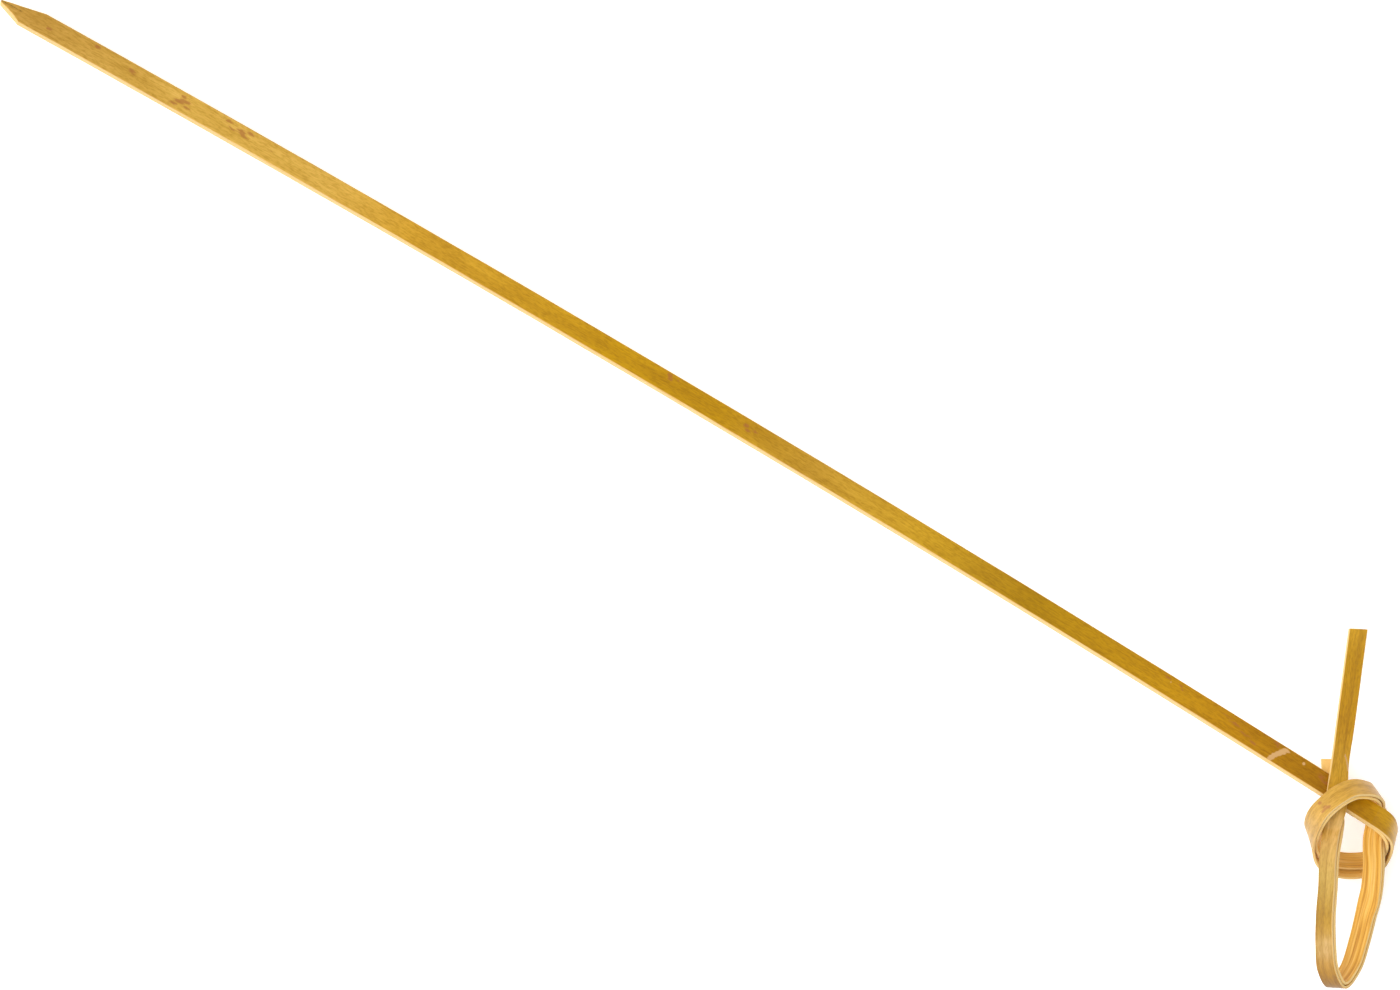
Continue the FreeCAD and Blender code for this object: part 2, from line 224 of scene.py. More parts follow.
near_strand = [
    Station(on_loop(-1.00, 0.735), loop_across, width=TAIL_WIDTH),
    Station(on_loop(-1.00, 0.570), loop_across, width=near_width + 0.05),
    Station(Vector((-half_neck - 0.18, -6.2, 1.1)), loop_across, width=near_width),
    Station(Vector((-half_neck - 0.05, -3.2, 1.1)), loop_across, 0.2, width=near_width),
    Station(Vector((-half_neck + 0.4, -0.25, 0.6)), (-0.77, 0.05, -0.57), 0.3, width=near_width),
    Station(crossing - tail_start * 2.1, skin_normal.cross(tail_start), straddle_gap, width=TAIL_WIDTH),
]


def free_station(leaf_centre, along, out, leaf_side):
    """A station of a free end whose one leaf is centred here, with its face square to out."""
    across = out.cross(along)
    square_out = along.cross(across.normalized())
    point = leaf_centre - square_out * (leaf_side * (straddle_gap + LEAF_THICKNESS) / 2)
    return Station(point, across, straddle_gap, width=TAIL_WIDTH)


def free_end(start, later, length, last_out, leaf_side, shares):
    """The stations of a free end from the crossing on, the first of them flat beside the shaft."""
    root = crossing + skin_normal * (leaf_side * (straddle_gap + LEAF_THICKNESS) / 2)
    bend = root + start * PARTING
    last = bend + later * (length - PARTING)
    stations = [free_station(root, start, skin_normal, leaf_side)]
    for share in shares:
        stations.append(free_station(bend + (last - bend) * share, later, last_out, leaf_side))
    return stations


tail = free_end(tail_start, tail_later, TAIL_LENGTH, tail_face, 1, (0.03, 0.35, 0.7, 1.0))
stub = free_end(stub_start, stub_start, STUB_LENGTH, skin_normal, -1, (0.1, 1.0))
tied = turn + wrap + far_strand + loop_end + near_strand


def slopes(marks, values, first=None):
    """The rate of change of the values at each mark, from the marks on either side of it."""
    steps = [(values[i + 1] - values[i]) / (marks[i + 1] - marks[i]) for i in range(len(marks) - 1)]
    middle = []
    for i in range(1, len(steps)):
        before, after = marks[i] - marks[i - 1], marks[i + 1] - marks[i]
        middle.append((steps[i - 1] * after + steps[i] * before) / (before + after))
    return [first or steps[0]] + middle + [steps[-1]]


class Route:
    """A smooth line through stations, with the strip's width direction and its leaves along it."""

    def __init__(self, stations):
        self.stations = stations
        self.points = [station.point for station in stations]
        self.acrosses = [station.across for station in stations]
        self.marks = [0.0]
        for before, after in zip(self.points, self.points[1:]):
            self.marks.append(self.marks[-1] + (after - before).length)
        self.point_slopes = slopes(self.marks, self.points, stations[0].across.cross(skin_normal))
        self.across_slopes = slopes(self.marks, self.acrosses)

    def span(self, mark):
        """Which stretch between stations a mark is in, its length, and the share of it passed."""
        index = max(i for i in range(len(self.marks) - 1) if self.marks[i] <= mark + 1e-9)
        length = self.marks[index + 1] - self.marks[index]
        return index, length, (mark - self.marks[index]) / length

    def curve(self, values, rates, mark):
        """The smooth value at a mark, from the values and their rates at the stations."""
        i, length, t = self.span(mark)
        from_values = values[i] * (2 * t ** 3 - 3 * t ** 2 + 1) + values[i + 1] * (3 * t ** 2 - 2 * t ** 3)
        from_rates = rates[i] * (t ** 3 - 2 * t ** 2 + t) + rates[i + 1] * (t ** 3 - t ** 2)
        return from_values + from_rates * length

    def direction(self, mark):
        """The route's direction at a mark."""
        i, length, t = self.span(mark)
        chord = (self.points[i + 1] - self.points[i]) * (6 * (t - t ** 2) / length)
        start = self.point_slopes[i] * (3 * t ** 2 - 4 * t + 1)
        end = self.point_slopes[i + 1] * (3 * t ** 2 - 2 * t)
        return (chord + start + end).normalized()

    def strip_at(self, mark):
        """The gap, the leaves' thickness and width, and their slide at a mark."""
        index, _, share = self.span(mark)
        ease = share * share * (3 - 2 * share)
        before, after = self.stations[index], self.stations[index + 1]
        gap = before.gap + (after.gap - before.gap) * ease
        leaf = before.leaf + (after.leaf - before.leaf) * ease
        width = before.width + (after.width - before.width) * ease
        slide = before.slide + (after.slide - before.slide) * ease
        return gap, leaf, width, slide

    def axes(self, mark):
        """The middle of the strip at a mark, with the directions along and across it."""
        centre = self.curve(self.points, self.point_slopes, mark)
        along = self.direction(mark)
        across = square_to(self.curve(self.acrosses, self.across_slopes, mark), along)
        return centre, along, across


# ---- From the knot's axes to the row frame -----------------------------------------------------
mounts = {mount["name"]: mount for mount in frame["record"]["mounts"]}


def triad(first, second):
    """Three square axes that follow from two directions, as the columns of a matrix."""
    third = first.cross(second).normalized()
    return Matrix((first.normalized(), third, first.cross(third).normalized())).transposed()


row_skin = -Vector(mounts["shaft_back"]["axis"])
row_eye = Vector(mounts["loop_eye"]["axis"])
turn_to_row = triad(row_skin, row_eye) @ triad(skin_normal, loop_across).transposed()
row_tip = Vector(mounts["point"]["pos_m"])
knot_tip = on_shaft(point_angle)


def to_row(point):
    """A point in the knot's axes, in millimetres, as a point in the row frame, in metres."""
    return row_tip + turn_to_row @ (point - knot_tip) * MM


# ---- Swept strips ------------------------------------------------------------------------------
# Sizes are in millimetres.
CORNER = 0.07            # rounding of a leaf's long edges, at most
CORNER_SHARE = 0.3       # the same as a share of the leaf's thickness
FACE_COLUMNS = 26        # quads across a face
EDGE_ROWS = 4            # quads up an edge
SKIN_RELIEF = (0.003, 0.0015)   # heights of the coarse and the fine fibres on the skin
CUT_RELIEF = (0.010, 0.018)     # and on the cut faces
SCAR_DEPTH = 0.03
WORN_DEPTH = 0.02
SCAR_FALL = 1.6          # how quickly a scar fades with the square of the distance from its middle
SCAR_REACH = 2.0         # where it ends, in its own sizes
FLARE_PIVOT = 0.42       # where a flared leaf turns, in widths from its middle line

# A place on a section's outline: edge is 1 on the long edges, 0 on the faces and between at the
# corners, and side is 1 on the far face, -1 on the near face and 0 on the edges.
Place = namedtuple("Place", "across depth edge side")


def outline(low, high, near, far, corner):
    """The places round a section that spans low to high across and near to far in depth."""
    places = []
    flat_low, flat_high = low + corner, high - corner

    def face(start, end, depth, side):
        for i in range(FACE_COLUMNS + 1):
            places.append(Place(start + (end - start) * i / FACE_COLUMNS, depth, 0.0, side))

    def rounding(flat, outward, depth, side, angles):
        for degrees in angles:
            angle = math.radians(degrees)
            across = flat + outward * corner * math.sin(angle)
            places.append(Place(across, depth - side * corner * (1 - math.cos(angle)), degrees / 90, side))

    def edge(across, start, end):
        for i in range(EDGE_ROWS + 1):
            places.append(Place(across, start + (end - start) * i / EDGE_ROWS, 1.0, 0))

    face(flat_low, flat_high, near, -1)
    rounding(flat_high, 1, near, -1, (30, 60))
    edge(high, near + corner, far - corner)
    rounding(flat_high, 1, far, 1, (60, 30))
    face(flat_high, flat_low, far, 1)
    rounding(flat_low, -1, far, 1, (30, 60))
    edge(low, far - corner, near + corner)
    rounding(flat_low, -1, near, -1, (60, 30))
    return places


def fibre(mark, across, depth, along_scale, cross_scale, seed):
    """Noise drawn out along the strip."""
    place = (mark * along_scale, across * cross_scale + seed, depth * cross_scale + seed * 1.7)
    return noise.noise(Vector(place))


def relief(mark, across, depth, heights):
    """How far the surface stands out here, from the heights of its coarse and its fine fibres."""
    coarse = fibre(mark, across, depth, 0.10, 2.6, 3.1)
    fine = fibre(mark, across, depth, 0.16, 6.5, 8.4)
    return heights[0] * coarse + heights[1] * fine


def scar_at(scars, mark, across):
    """How strong the scars of the list are here, from 0 to 1."""
    total = 0.0
    for place, offset, half_length, half_width, strength in scars:
        reach = ((mark - place) / half_length) ** 2 + ((across - offset) / half_width) ** 2
        if reach < SCAR_REACH ** 2:
            total += strength * math.exp(-reach * SCAR_FALL)
    return min(1.0, total)


class Section:
    """One section of a swept strip: where it is, its outline, and how far along the strip it lies.

    skin_place is the depth of the whole strip's skin in the section's own depths. slant leans a cut
    end along the strip, and flare turns the section's back edge away.
    """

    def __init__(self, centre, along, across, places, mark, skin_place, slant=0.0, flare=0.0):
        self.centre = centre
        self.along = along
        self.across = across
        self.out = along.cross(across)
        self.places = places
        self.mark = mark
        self.skin_place = skin_place
        self.slant = slant
        self.flare = flare

    def point(self, place, lift):
        """The point at a place of the outline, in the knot's axes, lifted off the surface."""
        outward = self.out * place.side * (1 - place.edge)
        if place.edge > 0:
            outward = outward + self.across * (place.edge if place.across > 0 else -place.edge)
        lean = self.along * (place.across * self.slant)
        lean -= self.out * (self.flare * (place.across / STRIP_WIDTH + FLARE_PIVOT))
        flat = self.centre + self.across * place.across + self.out * place.depth
        return flat + outward * lift + lean


def tube_faces(count, ring):
    """The quads of a tube of rings, with each end closed by a ladder between its two faces."""
    faces = []
    for i in range(count - 1):
        for j in range(ring):
            k = (j + 1) % ring
            faces.append((i * ring + j, i * ring + k, (i + 1) * ring + k, (i + 1) * ring + j))
    for base in (0, (count - 1) * ring):
        for j in range(ring // 2 - 1):
            faces.append((base + j, base + j + 1, base + ring - 2 - j, base + ring - 1 - j))
    return faces


def finish_surface(mesh, first_inner, first_last):
    """Turn the faces outward and shade them smooth, with sharp edges round both ends."""
    mesh.validate()
    bm = bmesh.new()
    bm.from_mesh(mesh)
    bmesh.ops.recalc_face_normals(bm, faces=bm.faces)
    for edge in bm.edges:
        low, high = sorted(vert.index for vert in edge.verts)
        if high < first_inner or low >= first_last:
            edge.smooth = False
    bm.to_mesh(mesh)
    bm.free()
    mesh.polygons.foreach_set("use_smooth", [True] * len(mesh.polygons))


def sweep(name, sections, skin_side=None, scars=(), worn=()):
    """A closed mesh over sections, with its place on the strip and its surface as attributes.

    skin_side is the side of the outline that shows the skin, and scars and worn lie on that side.
    """
    verts, strip = [], []
    values = {"scar": [], "worn": [], "edge": [], "cut": []}
    for section in sections:
        for place in section.places:
            mark, across, depth = section.mark, place.across, section.skin_place - place.depth
            on_skin = place.side == skin_side
            scar = scar_at(scars, mark, across) if on_skin else 0.0
            bare = scar_at(worn, mark, across) if on_skin else 0.0
            heights = SKIN_RELIEF if on_skin and place.edge < 0.5 else CUT_RELIEF
            lift = relief(mark, across, depth, heights) - SCAR_DEPTH * scar - WORN_DEPTH * bare
            verts.append(to_row(section.point(place, lift)))
            strip += (mark, across, depth)
            values["scar"].append(scar)
            values["worn"].append(bare)
            values["edge"].append(place.edge)
            values["cut"].append(0.0 if on_skin and place.edge < 0.3 else 1.0)
    count, ring = len(sections), len(sections[0].places)
    mesh = bpy.data.meshes.new(name)
    mesh.from_pydata(verts, [], tube_faces(count, ring))
    mesh.attributes.new("strip", "FLOAT_VECTOR", "POINT").data.foreach_set("vector", strip)
    for layer_name, numbers in values.items():
        mesh.attributes.new(layer_name, "FLOAT", "POINT").data.foreach_set("value", numbers)
    finish_surface(mesh, ring, (count - 1) * ring)
    piece = bpy.data.objects.new(name, mesh)
    bpy.context.scene.collection.objects.link(piece)
    return piece


# ---- The shaft ---------------------------------------------------------------------------------
SHAFT_CORNER = 0.10      # rounding of its long edges, at most
SHAFT_CORNER_SHARE = 0.45   # the same as a share of its half width
POINT_INSET = 0.30       # how far the front of the point's lower edge is drawn in
POINT_STRETCH = 6.0      # length of the finely divided stretch at the point
POINT_STEP = 0.1
SHAFT_STEP = 0.25

split_mark = SHAFT_LENGTH + SPLIT_AFTER
# Scars and stains: distance from the point, offset across, half length, half width, strength.
SHAFT_SCARS = [
    (6.2, -0.15, 0.40, 0.26, 0.5), (11.8, 0.75, 0.34, 0.24, 0.9), (16.4, 0.30, 0.60, 0.24, 0.6),
    (16.8, -0.05, 0.40, 0.20, 0.4), (22.1, -0.60, 0.50, 0.22, 0.7), (22.6, -0.15, 0.60, 0.24, 0.7),
    (22.9, 0.60, 0.40, 0.20, 0.6), (23.3, 0.20, 0.60, 0.24, 0.7), (23.7, -0.40, 0.50, 0.20, 0.6),
    (28.6, 0.75, 0.60, 0.20, 0.7), (29.2, 0.10, 0.70, 0.18, 0.4), (30.3, 0.40, 0.55, 0.26, 0.8),
    (30.8, 0.00, 0.55, 0.24, 0.7), (31.3, 0.66, 0.50, 0.20, 0.6), (34.2, 0.10, 0.50, 0.14, 0.4),
    (84.9, 0.85, 0.30, 0.24, 0.9), (85.1, 0.50, 0.30, 0.20, 0.7), (85.9, 0.72, 0.26, 0.16, 0.5),
    (95.0, 0.35, 0.36, 0.26, 0.8), (95.4, -0.10, 0.30, 0.20, 0.7), (96.2, 0.20, 0.30, 0.18, 0.5),
    (149.4, 0.80, 0.40, 0.18, 0.7), (151.1, 0.70, 0.24, 0.16, 0.6), (151.5, 0.45, 0.24, 0.16, 0.6),
    (157.0, 0.60, 1.30, 0.12, 0.4), (158.4, 0.25, 0.80, 0.22, 0.4), (160.0, -0.20, 0.90, 0.26, 0.4),
    (161.2, -0.50, 0.70, 0.20, 0.3), (163.5, 0.95, 0.45, 0.12, 0.9), (163.7, 0.70, 0.30, 0.10, 0.6),
    (169.6, 0.45, 0.50, 0.30, 0.5), (170.4, 0.05, 0.60, 0.24, 0.5),
]
# Pale places where the skin is worn through: the same five numbers.
SHAFT_WORN = [
    (150.0, 0.50, 0.14, 0.34, 0.8), (163.6, -1.10, 0.34, 0.24, 0.9), (163.7, -0.75, 0.38, 0.26, 1.0),
    (163.9, -0.35, 0.40, 0.28, 1.0), (164.2, 0.05, 0.42, 0.28, 1.0), (164.5, 0.45, 0.50, 0.28, 1.0),
    (164.8, 0.85, 0.60, 0.24, 0.9), (167.2, 0.62, 0.26, 0.26, 0.9), (84.6, 0.30, 0.12, 0.20, 0.5),
]


def shaft_reach(distance):
    """The lower and the upper half width of the shaft at a distance from its point."""
    blunt, full = POINT_WIDTH / 2, STRIP_WIDTH / 2
    lower = blunt + (full - blunt) * min(1.0, distance / SHORT_BEVEL)
    upper = blunt + (full - blunt) * min(1.0, distance / LONG_BEVEL)
    return lower, upper


def shaft_marks():
    """The distances of the shaft's sections from its point, closer together over the point."""
    fine = round(POINT_STRETCH / POINT_STEP)
    rest = split_mark - POINT_STRETCH
    steps = round(rest / SHAFT_STEP)
    marks = [POINT_STEP * i for i in range(fine + 1)]
    return marks + [POINT_STRETCH + rest * i / steps for i in range(1, steps + 1)]


def shaft_sections():
    """The sections of the full strip. The front of its lower edge is drawn in at the point."""
    half = SHAFT_THICKNESS / 2
    sections = []
    for mark in shaft_marks():
        angle = point_angle + (split_angle - point_angle) * mark / split_mark
        across = shaft_radial(angle)
        lower, upper = shaft_reach(mark)
        places = outline(-lower, upper, -half, half, min(SHAFT_CORNER, lower * SHAFT_CORNER_SHARE))
        inset = POINT_INSET * max(0.0, 1.0 - mark / SHORT_BEVEL) ** 0.5 * min(1.0, lower)
        for i, place in enumerate(places):
            if place.across < 0:
                share = (place.depth / half + 1) / 2
                places[i] = place._replace(across=place.across + inset * share)
        along = across.cross(skin_normal)
        sections.append(Section(on_shaft(angle), along, across, places, mark, half))
    return sections


# ---- The leaves --------------------------------------------------------------------------------
INNER_FLARE = 1.3        # how far the inner leaf's back edge stands off inside the ring, at its left
TAIL_CUT_SLANT = -0.18   # slope of the tail's cut end, so that it is level
CUT_REACH = 1.2          # how far the slope of a cut end reaches along the leaf
LEAF_STEP = 0.18         # between the sections
FLARE_PEAK_BEFORE = 0.9  # how far before the ring's left the flare is greatest
FLARE_END_AFTER = 0.4    # how far past the ring's front it ends
RING_FOOT, RING_LEFT, RING_FRONT = 5, 8, 9   # the stations at these places of the ring


def bump_between(mark, first, middle, last):
    """A smooth rise from first to middle and fall to last, up to 1."""
    share = (mark - first) / (middle - first) if mark < middle else (last - mark) / (last - middle)
    share = max(0.0, min(1.0, share))
    return share * share * (3 - 2 * share)


def leaf_sections(route, leaf_side, cut_slant=0.0):
    """The sections of one leaf along its route: side 1 for the skin leaf, -1 for the inner leaf."""
    total = route.marks[-1]
    flare_first = route.marks[RING_FOOT]
    flare_middle = route.marks[RING_LEFT] - FLARE_PEAK_BEFORE
    flare_last = route.marks[RING_FRONT] + FLARE_END_AFTER
    count = round(total / LEAF_STEP)
    sections = []
    for i in range(count + 1):
        mark = total * i / count
        centre, along, across = route.axes(mark)
        gap, leaf, width, slide = route.strip_at(mark)
        centre = centre - across * (leaf_side * slide / 2)
        near, far, skin_place, flare = gap / 2, gap / 2 + leaf, gap / 2 + leaf, 0.0
        if leaf_side < 0:
            near, far = -far, -near
            skin_place = SHAFT_THICKNESS - leaf + far
            flare = INNER_FLARE * bump_between(mark, flare_first, flare_middle, flare_last)
        places = outline(-width / 2, width / 2, near, far, min(CORNER, leaf * CORNER_SHARE))
        slant = cut_slant * max(0.0, 1.0 - (total - mark) / CUT_REACH)
        place_on_strip = split_mark + mark
        sections.append(Section(centre, along, across, places, place_on_strip, skin_place, slant, flare))
    return sections


# ---- Materials ---------------------------------------------------------------------------------
RANGE_SOCKETS = ("From Min", "From Max", "To Min", "To Max")
WHITE = (1.0, 1.0, 1.0, 1.0)


def linear(red, green, blue):
    """A linear colour from the usual 0 to 255 numbers."""
    def one(value):
        value /= 255
        return value / 12.92 if value <= 0.04045 else ((value + 0.055) / 1.055) ** 2.4
    return (one(red), one(green), one(blue), 1.0)


class Shader:
    """Short ways of adding and joining nodes."""

    def __init__(self, name):
        self.material = bpy.data.materials.new(name)
        self.material.use_nodes = True
        self.tree = self.material.node_tree
        self.bsdf = self.tree.nodes["Principled BSDF"]

    def node(self, kind, **settings):
        """A new node with these settings."""
        node = self.tree.nodes.new(kind)
        for key, value in settings.items():
            setattr(node, key, value)
        return node

    def link(self, source, target):
        """Join an output to an input."""
        self.tree.links.new(source, target)

    def feed(self, value, socket):
        """Give an input a value, which is an output to join or a plain number or colour."""
        if hasattr(value, "is_output"):
            self.link(value, socket)
        else:
            socket.default_value = value

    def attribute(self, name, output="Fac"):
        """One of the mesh's attributes."""
        return self.node("ShaderNodeAttribute", attribute_name=name).outputs[output]

    def streaks(self, vector, along_scale, cross_scale, detail, seed):
        """Noise with its own scales along and across the strip, for each millimetre."""
        mapping = self.node("ShaderNodeMapping")
        mapping.inputs["Scale"].default_value = (along_scale, cross_scale, cross_scale)
        mapping.inputs["Location"].default_value = (seed, seed * 1.3, seed * 0.7)
        self.link(vector, mapping.inputs["Vector"])
        texture = self.node("ShaderNodeTexNoise")
        texture.inputs["Scale"].default_value = 1.0
        texture.inputs["Detail"].default_value = detail
        self.link(mapping.outputs["Vector"], texture.inputs["Vector"])
        return texture.outputs["Fac"]

    def ramp(self, factor, stops):
        """A colour ramp with (place, colour) stops."""
        ramp = self.node("ShaderNodeValToRGB")
        elements = ramp.color_ramp.elements
        while len(elements) < len(stops):
            elements.new(0.5)
        for element, (place, colour) in zip(elements, stops):
            element.position = place
            element.color = colour
        self.link(factor, ramp.inputs["Fac"])
        return ramp.outputs["Color"]

    def mix(self, factor, first, second, blend="MIX"):
        """Two colours mixed. 0, 6, 7 and 2 are the node's sockets for colours."""
        mix = self.node("ShaderNodeMix", data_type="RGBA", blend_type=blend)
        self.feed(factor, mix.inputs[0])
        self.feed(first, mix.inputs[6])
        self.feed(second, mix.inputs[7])
        return mix.outputs[2]

    def map_range(self, value, low, high, to_low, to_high):
        """The value moved from one range to another, and kept inside it."""
        node = self.node("ShaderNodeMapRange")
        self.link(value, node.inputs["Value"])
        for socket, number in zip(RANGE_SOCKETS, (low, high, to_low, to_high)):
            node.inputs[socket].default_value = number
        return node.outputs["Result"]

    def math(self, operation, first, second=0.0):
        """The result of a Math node."""
        node = self.node("ShaderNodeMath", operation=operation)
        self.feed(first, node.inputs[0])
        self.feed(second, node.inputs[1])
        return node.outputs[0]


skin_route = Route(tied + tail)
STRIP_TOTAL = split_mark + skin_route.marks[-1]
WORN_TONE = linear(204, 160, 104)
SCAR_TONE = linear(158, 96, 44)


def along_strip(*stops):
    """Colour stops from distances along the strip, in millimetres, and 0 to 255 colours."""
    return [(place / STRIP_TOTAL, linear(*colour)) for place, colour in stops]


# Along the strip the skin is greener over the shaft's middle and deep yellow at the bends. The paler,
# whiter stops towards the point and over the knot's wrap and near strand are painted sheen, the pale stop
# at 238.4 is a painted highlight, and the dark stops at 229 to 234 are painted shade at the loop's bottom.
SKIN_TONES_AND_PAINTED_LIGHT = along_strip(
    (2, (186, 142, 58)), (24, (208, 166, 70)), (40, (210, 168, 72)), (52, (200, 152, 40)),
    (78, (188, 141, 5)), (92, (180, 134, 4)), (104, (190, 146, 44)), (118, (194, 150, 30)),
    (132, (168, 126, 3)), (148, (184, 136, 8)), (160, (176, 124, 4)), (172, (162, 112, 3)),
    (181, (206, 156, 12)), (193, (178, 138, 52)), (199, (184, 142, 56)), (205, (204, 156, 50)),
    (211, (180, 126, 20)), (229, (134, 92, 3)), (234, (134, 92, 3)), (236.2, (168, 122, 20)),
    (238.4, (190, 156, 94)), (240.2, (174, 132, 24)), (242, (162, 122, 12)), (246, (178, 144, 58)),
    (250.5, (196, 154, 74)), (253, (190, 148, 58)), (256, (208, 160, 40)), (263, (190, 138, 5)),
    (270, (192, 142, 5)), (274, (206, 156, 28)),
)


# Colours of the cut faces: between the fibres, dark and light fibres, the long edges, and the faces
# where the strip was split through its middle.
Flesh = namedtuple("Flesh", "middle dark light edge split")


def skin_colour(shader, strip, place, speckle, fine):
    """The skin's colour: it drifts along the strip, with painted sheen, a painted highlight and painted
    shade in that drift, and with flecks, faint lines, bands and clouds.
    """
    cloud = shader.streaks(strip, 0.16, 0.55, detail=3.0, seed=9.0)
    bands = shader.streaks(strip, 0.03, 1.5, detail=2.0, seed=13.0)
    flecks = [(0.36, (0.84, 0.80, 0.66, 1)), (0.50, WHITE), (0.66, (1.08, 1.08, 1.25, 1))]
    lines = [(0.36, (0.90, 0.87, 0.80, 1)), (0.56, WHITE)]
    broad = [(0.36, (0.84, 0.80, 0.62, 1)), (0.52, WHITE), (0.66, (1.07, 1.08, 1.25, 1))]
    clouds = [(0.38, (0.90, 0.86, 0.72, 1)), (0.62, (1.05, 1.05, 1.15, 1))]

    # this ramp holds the skin's own drift together with its painted sheen, painted highlight and painted
    # shade
    colour = shader.ramp(shader.map_range(place, 0.0, STRIP_TOTAL, 0.0, 1.0), SKIN_TONES_AND_PAINTED_LIGHT)
    colour = shader.mix(1.0, colour, shader.ramp(speckle, flecks), "MULTIPLY")
    colour = shader.mix(0.7, colour, shader.ramp(fine, lines), "MULTIPLY")
    # the bent leaves show the broad bands more than the straight shaft does
    banded = shader.map_range(place, SHAFT_LENGTH, SHAFT_LENGTH + 10.0, 0.35, 1.0)
    colour = shader.mix(banded, colour, shader.ramp(bands, broad), "MULTIPLY")
    return shader.mix(0.7, colour, shader.ramp(cloud, clouds), "MULTIPLY")


def flesh_colour(shader, strip, depth, fine, edge, flesh):
    """The cut faces' colour: fibres, paler where the strip was split through its middle."""
    medium = shader.streaks(strip, 0.10, 3.2, detail=2.0, seed=5.0)
    colour = shader.ramp(medium, [(0.32, flesh.dark), (0.50, flesh.middle), (0.68, flesh.light)])
    lines = shader.ramp(fine, [(0.34, (0.72, 0.60, 0.42, 1)), (0.50, WHITE)])
    colour = shader.mix(0.85, colour, lines, "MULTIPLY")
    off_middle = shader.math("ABSOLUTE", shader.math("SUBTRACT", depth, 0.5))
    colour = shader.mix(shader.map_range(off_middle, 0.19, 0.26, 0.75, 0.0), colour, flesh.split)
    return shader.mix(edge, colour, shader.ramp(fine, [(0.28, flesh.middle), (0.48, flesh.edge)]))


def bamboo(name, gloss, flesh):
    """Bamboo with a satin skin face and fibrous cut faces, coloured along the strip's own axes."""
    shader = Shader(name)
    strip = shader.attribute("strip", "Vector")
    scar, worn = shader.attribute("scar"), shader.attribute("worn")
    edge, cut = shader.attribute("edge"), shader.attribute("cut")
    parts = shader.node("ShaderNodeSeparateXYZ")
    shader.link(strip, parts.inputs["Vector"])
    speckle = shader.streaks(strip, 1.6, 7.0, detail=4.0, seed=2.0)
    fine = shader.streaks(strip, 0.22, 11.0, detail=3.0, seed=1.0)

    # worn places and scars have ragged outlines, because the speckle is added to their strength
    skin = skin_colour(shader, strip, parts.outputs["X"], speckle, fine)
    ragged_wear = shader.math("ADD", worn, shader.math("MULTIPLY", speckle, 0.3))
    skin = shader.mix(shader.map_range(ragged_wear, 0.42, 0.66, 0.0, 1.0), skin, WORN_TONE)
    colour = shader.mix(cut, skin, flesh_colour(shader, strip, parts.outputs["Z"], fine, edge, flesh))
    ragged_scar = shader.math("ADD", scar, shader.math("MULTIPLY", speckle, 1.6))
    mark = shader.map_range(ragged_scar, 0.92, 1.16, 0.0, 0.72)
    mark = shader.math("MULTIPLY", mark, shader.map_range(scar, 0.02, 0.12, 0.0, 1.0))
    shader.link(shader.mix(mark, colour, SCAR_TONE), shader.bsdf.inputs["Base Color"])

    rough = shader.map_range(fine, 0.3, 0.7, 0.30, 0.44)
    rough = shader.math("ADD", rough, shader.math("MULTIPLY", cut, 0.20))
    shader.link(rough, shader.bsdf.inputs["Roughness"])
    shader.bsdf.inputs["Specular IOR Level"].default_value = gloss

    bump = shader.node("ShaderNodeBump")
    bump.inputs["Distance"].default_value = 0.00003
    bump.inputs["Strength"].default_value = 0.6
    height = shader.math("MULTIPLY", fine, shader.map_range(cut, 0, 1, 0.35, 1.0))
    shader.link(height, bump.inputs["Height"])
    shader.link(bump.outputs["Normal"], shader.bsdf.inputs["Normal"])
    return shader.material


SHAFT_GLOSS = 0.26
LEAF_GLOSS = 0.42
skin_flesh = Flesh(
    linear(218, 166, 80), linear(184, 124, 42), linear(234, 194, 118), linear(216, 186, 124),
    linear(224, 176, 84),
)
inner_flesh = Flesh(
    linear(220, 168, 64), linear(192, 134, 32), linear(236, 196, 108), linear(226, 192, 124),
    linear(250, 218, 140),
)
shaft_material = bamboo("bamboo_shaft", SHAFT_GLOSS, skin_flesh)
skin_material = bamboo("bamboo_skin", LEAF_GLOSS, skin_flesh)
inner_material = bamboo("bamboo_inner", LEAF_GLOSS, inner_flesh)

# ---- The pieces --------------------------------------------------------------------------------
tied_names = ["turn", "wrap", "far_strand", "loop_end", "near_strand"]
skin_nodes = ["skin_" + name for name in tied_names + ["tail"]]
inner_nodes = ["inner_" + name for name in tied_names + ["stub"]]

# scars at the wrap's left, and a curved scratch at the tail's foot: the same five numbers again
wrap_mark = split_mark + skin_route.marks[RING_FRONT]
leaf_scars = [
    (wrap_mark + 0.10, -0.42, 0.30, 0.20, 0.8), (wrap_mark + 0.62, -0.50, 0.22, 0.26, 0.8),
    (wrap_mark + 0.30, -0.12, 0.26, 0.14, 0.8), (wrap_mark + 0.20, 0.62, 0.24, 0.20, 0.8),
]
scratch_mark = split_mark + skin_route.marks[len(tied)] + 2.5
leaf_worn = [
    (scratch_mark + 0.27 * step, -1.05 + 0.012 * step * (step + 2), 0.22, 0.11, 1.0)
    for step in range(7)
]

shaft_piece = sweep("shaft_strip", shaft_sections(), 1, SHAFT_SCARS, SHAFT_WORN)
skin_piece = sweep("skin_leaf", leaf_sections(skin_route, 1, TAIL_CUT_SLANT), 1, leaf_scars, leaf_worn)
inner_piece = sweep("inner_leaf", leaf_sections(Route(tied + stub), -1))

